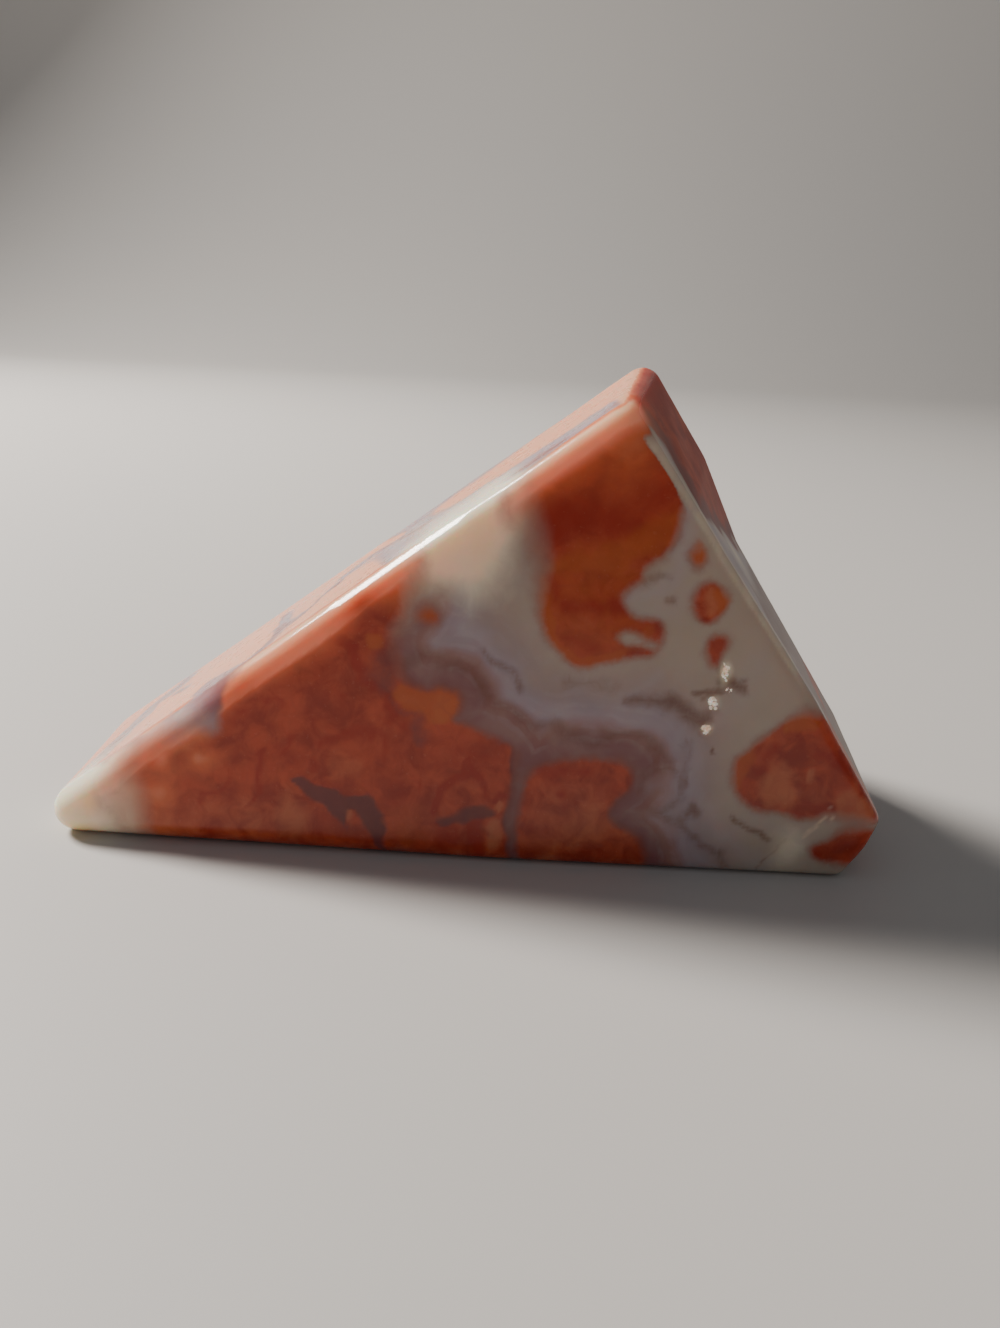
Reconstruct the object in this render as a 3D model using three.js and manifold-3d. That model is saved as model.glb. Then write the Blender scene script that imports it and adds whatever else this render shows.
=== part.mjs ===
// Agate freeform: a hand-sized standing piece of polished agate
// Units are millimetres, +Z is up, and +X runs along the longest side.
// The stone is one solid. Its faces are flat and its edges are rounded, so each
// body is the tight skin around a set of balls, one ball for each corner.

import * as THREE from "three";
import { ConvexGeometry } from "three/addons/geometries/ConvexGeometry.js";
import { mergeVertices } from "three/addons/utils/BufferGeometryUtils.js";
import Module from "manifold-3d";

const wasm = await Module();
wasm.setup();

// Smoothness of the rounded edges
const BALL_SIDES = 48;
const BALL_RINGS = 24;

// Vertices nearer than this are one vertex
const WELD = 1e-4;

// Corners that both bodies share, as x, y, z and the radius of the rounding
const TIP_FRONT = [15.4, -13.5, 51.3, 1.6];
const FOOT_FRONT = [3.3, -18.4, 1.6, 1.6];
const HEEL_FRONT = [47.0, -17.9, 7.2, 1.5];
const EDGE_BREAK = [22.6, -14.5, 41.5, 1.6];
const SHOULDER_TOP = [31.6, 6.5, 33.0, 2.2];
const FOOT_BACK_RIGHT = [40.8, 16.6, 3.0, 3.0];

// The tall body: the leaning ridge, the long slope down to the thin left tip and the back
const BODY_CORNERS = {
  tip_front: TIP_FRONT,
  tip_back: [19.1, 4.5, 53.1, 2.4],
  right_back: [25.9, 6.0, 43.7, 2.4],
  edge_break: EDGE_BREAK,
  shoulder_top: SHOULDER_TOP,
  slope_back: [-25.7, 13.0, 17.2, 3.0],
  left_back: [-45.1, 1.5, 4.3, 3.0],
  foot_left_back: [-41.7, 1.0, 2.5, 2.5],
  left_tip: [-46.4, -16.3, 2.9, 2.9],
  foot_back_left: [-29.7, 17.0, 3.0, 3.0],
  foot_back_right: FOOT_BACK_RIGHT,
  foot_front: FOOT_FRONT,
};

// The lower shoulder on the right, with its long bevel and the blunt heel
const SHOULDER_CORNERS = {
  edge_break: EDGE_BREAK,
  foot_front: FOOT_FRONT,
  shoulder_top: SHOULDER_TOP,
  shoulder_bend: [40.5, 4.4, 20.4, 1.6],
  flank: [46.9, 3.5, 10.5, 2.4],
  bevel_end: [38.1, -16.6, 20.5, 1.5],
  heel_low: [44.0, -18.5, 1.5, 1.5],
  heel_middle: [46.0, -18.2, 4.6, 1.5],
  heel_front: HEEL_FRONT,
  foot_right: [46.3, 2.0, 3.0, 3.0],
  foot_back_right: FOOT_BACK_RIGHT,
};

// Small crystal pits in the front face
// Each outline is given as x, z on the face, and the floor is a smaller copy of it.
const PIT_OVERSHOOT = 0.4;
const PIT_FLOOR_SCALE = 0.5;
const PITS = [
  {
    depth: 0.9,
    outline: [[28.1, 25.9], [28.8, 25.7], [29.1, 24.4], [28.8, 23.1], [28.2, 23.0], [27.9, 24.5]],
  },
  {
    depth: 0.7,
    outline: [[28.6, 22.6], [29.5, 22.7], [29.7, 22.1], [28.8, 21.8]],
  },
  {
    depth: 1.0,
    outline: [[26.6, 21.7], [27.4, 21.9], [28.3, 20.6], [28.4, 19.7], [27.6, 19.6], [26.7, 20.8]],
  },
  {
    depth: 0.9,
    outline: [[26.3, 18.2], [27.0, 18.6], [27.8, 18.0], [27.7, 17.2], [26.8, 16.9], [26.2, 17.4]],
  },
];

// Look of the stone
const STONE_COLOUR = 0xb5705a;
const STONE_ROUGHNESS = 0.15;

// A solid from the tight skin around a set of points
function solidAround(points) {
  const skin = new ConvexGeometry(points);
  const bare = new THREE.BufferGeometry();
  bare.setAttribute("position", skin.getAttribute("position"));
  const welded = mergeVertices(bare, WELD);
  return new wasm.Manifold(
    new wasm.Mesh({
      numProp: 3,
      vertProperties: new Float32Array(welded.getAttribute("position").array),
      triVerts: new Uint32Array(welded.getIndex().array),
    }),
  );
}

// Points of a ball whose lowest point lies exactly below its centre
function ballPoints([x, y, z, radius]) {
  const ball = new THREE.SphereGeometry(radius, BALL_SIDES, BALL_RINGS);
  ball.rotateX(Math.PI / 2);
  ball.translate(x, y, z);
  const position = ball.getAttribute("position");
  const points = [];
  for (let i = 0; i < position.count; i += 1) {
    points.push(new THREE.Vector3().fromBufferAttribute(position, i));
  }
  return points;
}

// A body with flat faces and rounded edges
function roundedBody(corners) {
  return solidAround(Object.values(corners).flatMap(ballPoints));
}

// The plane that the front face lies in, facing out of the stone
function frontFacePlane() {
  const [tip, foot, heel] = [TIP_FRONT, FOOT_FRONT, HEEL_FRONT].map(
    ([x, y, z]) => new THREE.Vector3(x, y, z),
  );
  const plane = new THREE.Plane().setFromCoplanarPoints(tip, foot, heel);
  if (plane.normal.y > 0) {
    plane.negate();
  }
  plane.constant -= FOOT_FRONT[3];
  return plane;
}

// A pit that opens through the front face
function crystalPit({ depth, outline }) {
  const plane = frontFacePlane();
  const { normal, constant } = plane;
  const middle = [0, 1].map(
    (axis) => outline.reduce((sum, corner) => sum + corner[axis], 0) / outline.length,
  );
  const onFace = (x, z, height) => {
    const y = -(constant + normal.x * x + normal.z * z) / normal.y;
    return new THREE.Vector3(x, y, z).addScaledVector(normal, height);
  };
  const shrink = (value, axis) => middle[axis] + (value - middle[axis]) * PIT_FLOOR_SCALE;
  const mouth = outline.map(([x, z]) => onFace(x, z, PIT_OVERSHOOT));
  const floor = outline.map(([x, z]) => onFace(shrink(x, 0), shrink(z, 1), -depth));
  return solidAround([...mouth, ...floor]);
}

// The whole stone
function agate() {
  let stone = roundedBody(BODY_CORNERS).add(roundedBody(SHOULDER_CORNERS));
  for (const pit of PITS) {
    stone = stone.subtract(crystalPit(pit));
  }
  return stone;
}

// A three.js mesh whose origin is the middle of the base
function restingMesh(solid) {
  const { numProp, vertProperties, triVerts } = solid.getMesh();
  const xyz = new Float32Array((vertProperties.length / numProp) * 3);
  for (let i = 0; i < xyz.length / 3; i += 1) {
    xyz.set(vertProperties.subarray(i * numProp, i * numProp + 3), i * 3);
  }
  const geometry = new THREE.BufferGeometry();
  geometry.setAttribute("position", new THREE.BufferAttribute(xyz, 3));
  geometry.setIndex(new THREE.BufferAttribute(new Uint32Array(triVerts), 1));
  geometry.computeBoundingBox();
  const { min, max } = geometry.boundingBox;
  geometry.translate(-(min.x + max.x) / 2, -(min.y + max.y) / 2, -min.z);
  geometry.computeVertexNormals();
  const material = new THREE.MeshStandardMaterial({
    color: STONE_COLOUR,
    roughness: STONE_ROUGHNESS,
    metalness: 0,
  });
  return new THREE.Mesh(geometry, material);
}

const freeform = new THREE.Group();
freeform.name = "agate_freeform";

const stone = restingMesh(agate());
stone.name = "stone";
freeform.add(stone);

export default freeform;
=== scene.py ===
# Agate freeform: the polished stone, its colours and bands, and the small crystals in its pits
# Lengths in the tables below are in millimetres, in the same frame as the solid.

import bmesh
import bpy
import math
import numpy as np
from mathutils import Matrix, Vector
from mathutils.bvhtree import BVHTree


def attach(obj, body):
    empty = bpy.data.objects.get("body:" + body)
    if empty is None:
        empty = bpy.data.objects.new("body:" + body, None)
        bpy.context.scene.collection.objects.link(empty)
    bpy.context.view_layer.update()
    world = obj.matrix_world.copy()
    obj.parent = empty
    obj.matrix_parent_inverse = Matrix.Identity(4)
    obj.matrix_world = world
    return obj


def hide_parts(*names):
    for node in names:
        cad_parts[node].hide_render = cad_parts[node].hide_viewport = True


MM = 0.001

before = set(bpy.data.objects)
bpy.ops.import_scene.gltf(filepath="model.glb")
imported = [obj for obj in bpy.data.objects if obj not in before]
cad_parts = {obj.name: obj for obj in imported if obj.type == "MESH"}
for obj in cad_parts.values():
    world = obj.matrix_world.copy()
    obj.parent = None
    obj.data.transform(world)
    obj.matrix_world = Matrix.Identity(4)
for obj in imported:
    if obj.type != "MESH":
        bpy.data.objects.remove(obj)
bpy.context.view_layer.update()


# The skin: the size of its faces, how often it is smoothed and how far hand polishing swells it

FACE_SPACING = 0.42
POLISH_ROUNDS = 5
SOFT_EDGE_ROUNDS = 60
SMOOTHING = 0.5
HAND_POLISH_SWELL = 0.06
SWELL_SIZE = 9.0
SMALL_SWELL_SIZE = 3.4
SWELL_START = 0.8
SWELL_FADE = 2.0

# Corners of the front face, and the rounding of its edges
TIP_FRONT = (15.4, -13.5, 51.3)
FOOT_FRONT = (3.3, -18.4, 1.6)
HEEL_FRONT = (47.0, -17.9, 7.2)
LEFT_TIP = (-46.4, -16.3, 2.9)
EDGE_BREAK = (22.6, -14.5, 41.5)
BEVEL_END = (38.1, -16.6, 20.5)
EDGE_RADIUS = 1.6
LEFT_TIP_RADIUS = 2.9

# Stretches of the long front edge that are polished rounder than the rest: two ends and a reach
SOFT_EDGES = [
    ((14.6, -15.1, 51.6), (3.0, -15.8, 43.6), 4.0),
    ((-30.0, -17.4, 17.0), (-41.0, -17.8, 8.6), 3.2),
]

# The right edge of the front face: from the tip to the break, and on to the end of the bevel
RIGHT_EDGE = [(TIP_FRONT, EDGE_BREAK), (EDGE_BREAK, BEVEL_END)]

# Narrow flats polished along the long front edge: where each starts and ends in x, and how deep it cuts
EDGE_FLATS = [(-16.4, -1.0, 0.11), (-29.6, -20.4, 0.04), (0.9, 2.5, 0.06)]
EDGE_FLAT_FACING = (-0.496, -0.492, 0.718)
EDGE_FLAT_FADE = 1.2

# Outlines of the salmon-coloured masses, as x and z on the front face
SALMON_MASSES = {
    "long slope": [
        (-39.4, 6.2), (-40.0, 8.2), (-40.2, 9.8), (-39.2, 11.0), (-37.0, 12.8), (-34.6, 14.0),
        (-32.8, 14.0), (-31.0, 14.6), (-29.6, 14.2), (-28.6, 14.4), (-28.4, 16.2), (-28.4, 18.4),
        (-27.0, 21.5), (-24.0, 24.5), (-20.0, 27.6), (-15.0, 31.6), (-10.0, 35.2), (-6.0, 38.0),
        (-6.4, 35.0), (-6.7, 32.7), (-6.9, 30.9), (-7.4, 29.3), (-8.7, 27.9), (-9.2, 26.7),
        (-8.9, 25.1), (-8.0, 23.4), (-7.4, 21.8), (-6.4, 20.9), (-4.4, 20.9), (-3.4, 21.2),
        (-1.4, 20.7), (-1.0, 19.0), (-1.6, 17.8), (-1.2, 17.2), (0.2, 17.1), (2.1, 15.9), (4.9, 14.8),
        (5.9, 13.3), (5.5, 11.8), (5.2, 9.3), (5.1, 5.6), (5.3, 1.8), (5.2, -4.0), (-20.0, -6.0),
        (-34.0, -6.0), (-37.6, -2.0), (-38.4, 3.0),
    ],
    "peach block": [
        (-8.4, 18.7), (-8.0, 19.8), (-6.7, 20.4), (-4.5, 20.6), (-3.6, 21.2), (-1.0, 20.9),
        (-0.4, 19.2), (-1.4, 17.6), (-3.4, 16.9), (-4.5, 17.4), (-6.4, 17.6), (-7.9, 17.8),
    ],
    "middle": [
        (6.2, 9.4), (7.4, 11.3), (10.1, 12.9), (13.0, 13.8), (15.0, 13.8), (16.4, 13.5), (18.2, 13.8),
        (19.4, 12.5), (19.4, 10.3), (17.9, 8.6), (16.6, 7.1), (17.0, 5.9), (19.2, 5.0), (20.4, 3.6),
        (21.4, 1.4), (22.0, -4.0), (6.2, -4.0),
    ],
    "crown": [
        (4.0, 46.0), (4.3, 42.3), (5.5, 40.2), (7.0, 38.1), (7.7, 34.9), (7.3, 32.4), (7.2, 29.3),
        (8.1, 27.4), (9.9, 25.8), (11.1, 24.2), (13.1, 24.3), (16.6, 25.3), (18.8, 25.6), (20.2, 25.8),
        (21.2, 27.0), (21.4, 29.5), (20.1, 30.0), (17.9, 30.2), (16.4, 31.5), (16.1, 32.5),
        (17.6, 33.8), (18.8, 34.6), (18.6, 35.5), (19.6, 36.6), (20.8, 37.5), (21.8, 39.4),
        (22.2, 40.8), (22.9, 41.9), (25.0, 44.0), (18.0, 58.0), (8.0, 56.0),
    ],
    "heel": [
        (30.4, 14.0), (31.3, 15.2), (34.0, 17.2), (35.8, 19.3), (37.6, 20.6), (40.0, 20.6),
        (44.0, 18.0), (52.0, 13.0), (52.0, 7.6), (46.0, 7.4), (42.3, 8.0), (39.5, 7.3), (37.4, 7.9),
        (35.3, 8.3), (33.3, 8.2), (31.9, 9.5), (30.6, 11.9),
    ],
    "heel foot": [
        (40.2, 4.2), (42.7, 5.1), (44.6, 6.4), (48.0, 6.6), (51.0, 4.0), (46.0, 1.6), (44.0, 2.0),
        (41.6, 2.0),
    ],
    "upper island": [
        (23.4, 37.6), (24.2, 39.1), (25.8, 38.0), (25.8, 36.6), (24.5, 36.1), (23.5, 37.0),
    ],
    "square island": [
        (24.6, 34.1), (26.8, 34.7), (28.2, 33.2), (28.6, 32.0), (27.2, 30.6), (25.4, 29.5),
        (24.3, 31.9),
    ],
    "drop island": [(26.6, 28.5), (28.3, 28.6), (28.3, 27.0), (27.4, 24.6), (26.3, 25.7), (25.9, 27.2)],
    "cream spot": [(-5.9, 29.7), (-4.8, 30.2), (-3.4, 29.5), (-3.7, 28.7), (-4.9, 28.5), (-5.8, 29.0)],
}
LOWER_MASSES = ("long slope", "peach block", "middle")

# Windows where the chalcedony shows inside a mass
WINDOWS = [
    [
        (16.0, 27.6), (16.8, 28.7), (18.4, 28.5), (19.3, 27.8), (20.6, 27.4), (21.4, 26.6),
        (20.4, 26.4), (18.6, 27.0), (16.9, 26.9),
    ],
]

# Places where a mass melts into the chalcedony: centre x, z, half width, half height, added blur
MELTING_EDGES = [
    (-39.4, 4.0, 4.5, 7.0, 7.0), (-36.0, 12.4, 4.0, 2.6, 3.0),
    (5.4, 41.0, 3.5, 5.5, 6.0), (7.2, 35.0, 2.0, 4.0, 2.0), (-6.8, 33.5, 2.5, 3.5, 3.0),
    (-41.0, 5.0, 2.5, 5.0, 5.0), (-8.4, 25.5, 2.0, 4.0, 2.0), (44.5, 7.6, 2.5, 1.5, 1.5),
    (22.4, 41.6, 1.6, 2.4, 1.0), (38.6, 20.6, 2.5, 1.5, 1.2), (-31.0, 14.4, 4.0, 1.6, 1.0),
]

# Purple-grey chalcedony that runs into the masses: amount, softness and outline
GREY_BODIES = [
    (1.0, 0.35, [
        (-20.4, 9.0), (-19.5, 9.5), (-18.1, 9.0), (-16.3, 7.8), (-14.4, 7.9), (-13.4, 7.2),
        (-11.6, 7.9), (-10.5, 7.2), (-10.2, 5.5), (-9.3, 4.3), (-9.5, 2.5), (-9.2, 0.8), (-10.2, 2.0),
        (-10.7, 3.5), (-11.7, 4.6), (-12.8, 5.7), (-14.1, 5.6), (-14.2, 3.7), (-15.1, 4.9),
        (-16.2, 5.8), (-17.7, 6.9), (-19.1, 8.1),
    ]),
    (0.60, 1.0, [
        (-10.0, 25.5), (-8.9, 26.5), (-8.7, 24.9), (-7.7, 22.5), (-7.6, 20.6), (-8.8, 19.4),
        (-10.4, 20.4), (-11.6, 22.2), (-11.4, 24.1),
    ]),
    (0.55, 0.6, [(-6.2, 17.4), (-4.5, 17.1), (-4.3, 14.9), (-5.4, 13.9), (-6.3, 15.5)]),
    (0.80, 0.4, [
        (-2.7, 5.2), (-1.0, 5.8), (0.6, 6.9), (2.2, 7.3), (3.7, 6.3), (2.3, 5.3), (0.2, 5.3),
        (-1.9, 4.7),
    ]),
    (0.5, 0.5, [(-8.6, 1.1), (-7.2, 1.7), (-5.8, 1.1), (-7.2, 0.0)]),
]
GREY_SEAMS = [
    (1.0, 0.45, [
        (5.9, 15.0), (5.8, 13.0), (5.5, 11.0), (5.4, 8.6), (5.3, 5.6), (5.6, 3.1), (5.3, -1.0),
    ]),
    (0.5, 0.35, [(-8.8, 20.6), (-9.0, 19.0), (-8.8, 17.5), (-7.6, 17.1), (-6.0, 17.2)]),
]

# Deeper red inside the masses
RED_BODIES = [
    (0.8, 1.5, [
        (5.8, 41.8), (9.0, 44.5), (12.9, 46.4), (16.6, 46.7), (19.4, 45.1), (20.7, 43.4), (19.1, 42.1),
        (16.6, 40.2), (15.0, 39.1), (13.4, 38.6), (10.2, 38.3), (6.7, 38.1), (5.4, 39.9),
    ]),
    (0.5, 1.2, [
        (10.4, 43.9), (14.1, 44.9), (17.3, 44.0), (17.0, 41.9), (14.4, 40.1), (11.2, 39.4), (9.5, 41.5),
    ]),
    (0.5, 0.6, [
        (9.4, 28.6), (12.9, 27.3), (13.8, 27.8), (15.9, 27.3), (14.6, 25.9), (12.0, 26.6), (9.6, 27.2),
    ]),
    (0.6, 0.7, [(10.2, 32.6), (12.3, 31.7), (14.9, 31.2), (13.4, 29.4), (11.5, 30.4), (9.8, 30.6)]),
    (0.5, 0.5, [(14.5, 32.2), (16.4, 32.1), (17.1, 30.4), (15.7, 29.8), (14.6, 30.6)]),
    (0.35, 0.6, [(8.3, 33.8), (9.9, 34.2), (10.6, 32.3), (9.0, 31.7)]),
    (0.7, 0.6, [
        (7.8, 10.8), (10.2, 12.6), (13.9, 13.2), (15.6, 12.3), (15.3, 10.9), (12.6, 11.2), (10.2, 11.3),
    ]),
    (0.6, 0.3, [(10.4, 9.7), (11.5, 9.6), (11.4, 8.6), (10.4, 8.7)]),
    (0.8, 0.5, [
        (33.2, 14.1), (34.2, 16.0), (35.8, 16.6), (36.1, 15.5), (35.0, 13.9), (33.5, 12.0),
        (32.7, 12.3),
    ]),
    (0.7, 0.6, [(39.2, 16.8), (42.4, 16.4), (43.9, 13.8), (42.6, 12.5), (41.2, 14.5), (39.4, 15.0)]),
    (0.7, 0.4, [(37.5, 9.2), (40.1, 9.6), (42.1, 9.4), (41.7, 8.0), (39.5, 7.4), (37.7, 8.0)]),
    (0.6, 0.5, [(40.8, 4.2), (42.8, 4.6), (45.0, 5.2), (44.9, 3.6), (42.5, 2.4), (41.4, 2.8)]),
    (0.6, 0.5, [(-10.2, 16.7), (-8.9, 17.2), (-8.7, 15.6), (-9.8, 15.3)]),
    (0.6, 0.5, [(-8.1, 16.2), (-6.6, 16.4), (-6.4, 15.0), (-7.7, 14.7)]),
    (0.7, 0.4, [(-18.1, 11.5), (-17.0, 11.9), (-16.5, 10.5), (-17.7, 9.9)]),
    (0.7, 0.5, [(-15.3, 19.9), (-13.6, 19.8), (-13.8, 18.8), (-14.9, 18.4)]),
    (0.35, 1.2, [(-3.8, 14.7), (0.3, 16.2), (4.0, 13.8), (4.6, 11.5), (1.3, 12.7), (-2.3, 11.9)]),
    (0.4, 1.0, [(-4.3, 1.4), (-3.5, 3.7), (-1.6, 4.4), (-0.3, 1.7)]),
    (0.3, 1.0, [(-28.4, 18.0), (-27.6, 15.0), (-25.6, 15.0), (-25.0, 18.0), (-26.4, 20.4)]),
]
RED_SEAMS = [
    (0.9, 0.50, [(-14.3, 26.2), (-12.9, 24.0), (-12.0, 22.2), (-10.6, 20.2)]),
    (0.7, 0.40, [(-28.3, 11.1), (-27.3, 9.5), (-28.5, 7.9), (-31.0, 5.5)]),
    (0.6, 0.30, [(-23.2, 12.9), (-23.5, 11.2), (-24.5, 8.7), (-24.2, 7.2), (-25.5, 5.1)]),
    (0.9, 0.42, [(0.4, 12.1), (0.4, 10.4), (-1.1, 9.5), (-2.8, 8.6), (-3.4, 7.5), (-3.1, 6.3)]),
    (0.9, 0.38, [(0.4, 12.1), (1.2, 10.5), (1.9, 9.6), (2.3, 8.4)]),
    (0.9, 0.45, [(3.1, 8.2), (3.8, 8.8), (4.7, 8.7)]),
    (0.8, 0.70, [(1.6, 5.1), (1.0, 3.3), (1.6, 1.6), (1.4, 0.0)]),
    (0.6, 0.55, [(-17.2, 13.1), (-15.8, 14.0), (-14.0, 14.8), (-12.6, 15.3), (-11.2, 14.8)]),
    (0.7, 0.55, [(-9.9, 20.2), (-9.3, 19.4), (-9.5, 17.9), (-8.9, 16.8)]),
    (0.5, 0.45, [(-10.5, 14.8), (-9.6, 13.4), (-9.8, 11.9)]),
    (0.4, 0.35, [(-22.4, 18.6), (-20.6, 16.4), (-20.2, 14.4), (-21.4, 12.6)]),
    (0.4, 0.30, [(-35.4, 9.6), (-34.6, 7.6), (-35.2, 5.2)]),
    (0.4, 0.30, [(-6.4, 12.2), (-5.4, 10.4), (-5.8, 8.8)]),
]

# Golden orange inside the masses
GOLDEN_BODIES = [
    (0.55, 1.4, [
        (7.6, 36.5), (17.0, 37.0), (19.6, 37.6), (18.0, 31.0), (21.0, 28.0), (19.0, 25.6), (11.0, 24.4),
        (7.4, 29.0),
    ]),
    (0.8, 0.9, [
        (7.8, 36.4), (11.3, 38.0), (15.1, 38.6), (17.1, 40.4), (20.2, 42.3), (22.3, 41.9), (22.0, 40.0),
        (20.6, 37.8), (18.5, 36.6), (17.0, 35.1), (15.4, 34.1), (11.6, 34.3), (8.3, 34.1), (7.4, 35.2),
    ]),
    (1.0, 0.5, [
        (7.2, 33.8), (8.6, 33.9), (9.0, 31.1), (9.2, 28.3), (10.5, 26.0), (13.3, 25.9), (16.6, 26.3),
        (16.7, 25.0), (12.3, 23.4), (9.2, 25.0), (6.8, 28.2),
    ]),
    (0.8, 0.4, [(18.5, 29.2), (20.2, 29.6), (20.5, 27.8), (19.0, 27.4)]),
    (1.0, 0.3, [(23.2, 37.6), (24.2, 39.4), (26.1, 38.0), (26.1, 36.6), (24.5, 35.8), (23.2, 37.0)]),
    (0.9, 0.4, [(26.6, 34.2), (28.3, 33.4), (28.9, 32.0), (27.2, 30.4), (26.6, 32.0)]),
    (1.0, 0.5, [(35.4, 19.3), (37.6, 21.0), (39.8, 20.4), (40.4, 18.6), (37.9, 18.2), (36.0, 17.3)]),
    (0.8, 0.5, [
        (30.0, 14.0), (31.3, 15.6), (33.0, 16.5), (32.7, 14.1), (32.0, 11.9), (32.2, 10.1),
        (30.5, 11.2),
    ]),
    (1.0, 0.4, [(-12.2, 27.0), (-10.4, 27.0), (-10.0, 25.5), (-11.6, 24.8)]),
    (0.5, 1.5, [
        (-21.1, 24.6), (-17.3, 27.2), (-13.2, 28.8), (-14.6, 26.2), (-17.3, 23.7), (-19.1, 20.8),
        (-22.3, 20.6),
    ]),
    (1.0, 0.4, [
        (-8.6, 18.7), (-8.2, 20.2), (-6.7, 20.8), (-4.5, 21.0), (-3.6, 21.6), (-0.7, 21.2), (0.0, 19.2),
        (-1.2, 17.2), (-3.4, 16.5), (-4.5, 17.0), (-6.4, 17.4), (-8.2, 17.5),
    ]),
    (1.0, 0.3, [(-6.2, 29.7), (-4.8, 30.6), (-3.0, 29.5), (-3.4, 28.3), (-4.9, 28.1), (-6.2, 29.0)]),
    (0.4, 1.0, [
        (-9.7, 6.5), (-7.8, 7.6), (-4.1, 7.9), (-3.3, 5.0), (-3.9, 2.5), (-5.5, 1.3), (-8.4, 1.1),
        (-9.3, 2.6),
    ]),
    (0.6, 1.2, [(-12.0, 32.8), (-8.0, 35.6), (-6.6, 34.0), (-7.0, 30.6), (-9.6, 29.6), (-12.0, 30.8)]),
]

# Peach and dusty pink inside the masses
PEACH_BODIES = [
    (0.8, 0.5, [(25.3, 33.7), (26.8, 34.2), (28.0, 32.6), (27.2, 31.2), (25.6, 30.8)]),
    (0.7, 0.5, [(24.0, 37.6), (24.6, 38.6), (25.6, 37.8), (25.2, 36.8)]),
    (0.8, 0.8, [
        (33.4, 11.8), (34.3, 13.2), (35.8, 13.4), (37.0, 14.2), (38.2, 13.1), (37.7, 11.4),
        (38.8, 10.4), (37.0, 8.8), (35.6, 8.8), (34.6, 8.2), (33.5, 9.3),
    ]),
    (0.8, 0.3, [(39.0, 13.5), (39.8, 14.0), (40.2, 12.4), (39.5, 12.0)]),
    (1.0, 0.6, [(42.6, 8.2), (43.1, 10.7), (44.7, 11.7), (47.1, 10.6), (48.0, 6.8), (44.0, 6.4)]),
    (0.8, 0.4, [(-3.9, 20.8), (-1.1, 20.9), (-0.4, 19.2), (-1.9, 17.4), (-3.4, 16.7), (-3.9, 18.5)]),
    (0.6, 0.3, [(-8.2, 18.7), (-7.8, 19.6), (-5.6, 19.9), (-5.3, 18.4), (-7.9, 17.9)]),
    (0.8, 0.4, [(2.1, 2.9), (2.8, 5.2), (4.4, 5.8), (4.9, 4.3), (4.1, 2.3), (2.7, 1.9)]),
    (1.0, 0.2, [(3.2, 7.7), (4.1, 8.2), (4.6, 7.2), (3.7, 6.6)]),
    (0.45, 0.8, [
        (-15.8, 13.2), (-13.5, 13.6), (-11.8, 11.8), (-12.3, 9.3), (-14.4, 8.7), (-16.3, 10.0),
    ]),
    (0.7, 0.3, [(-14.3, 5.4), (-13.2, 5.7), (-12.8, 4.3), (-13.9, 3.7)]),
    (0.3, 0.8, [(10.3, 29.6), (12.7, 29.8), (14.6, 28.8), (12.0, 28.4)]),
    (0.35, 1.5, [(6.7, 7.5), (10.3, 10.5), (14.7, 9.8), (16.0, 6.8), (16.7, 1.8), (7.3, 0.3)]),
    (0.45, 1.2, [(-22.1, 8.4), (-19.1, 6.4), (-17.7, 4.5), (-18.1, 1.9), (-21.9, 1.6), (-22.4, 4.9)]),
    (0.4, 1.5, [(-38.0, 6.5), (-31.9, 6.9), (-27.6, 7.4), (-22.8, 8.1), (-22.4, 0.6), (-38.0, 0.6)]),
    (0.9, 1.6, [
        (4.0, 43.6), (9.0, 47.6), (14.6, 53.0), (18.6, 50.4), (17.6, 48.4), (13.6, 48.6), (9.4, 45.8),
        (5.4, 42.6),
    ]),
    (0.8, 0.8, [
        (-40.8, 9.6), (-37.0, 12.8), (-33.4, 14.2), (-29.4, 14.4), (-30.6, 12.6), (-35.4, 10.8),
        (-39.0, 7.0),
    ]),
    (0.5, 1.4, [
        (-28.4, 17.6), (-20.0, 27.6), (-10.0, 34.6), (-9.0, 33.2), (-19.0, 25.8), (-26.6, 17.0),
    ]),
]

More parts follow.
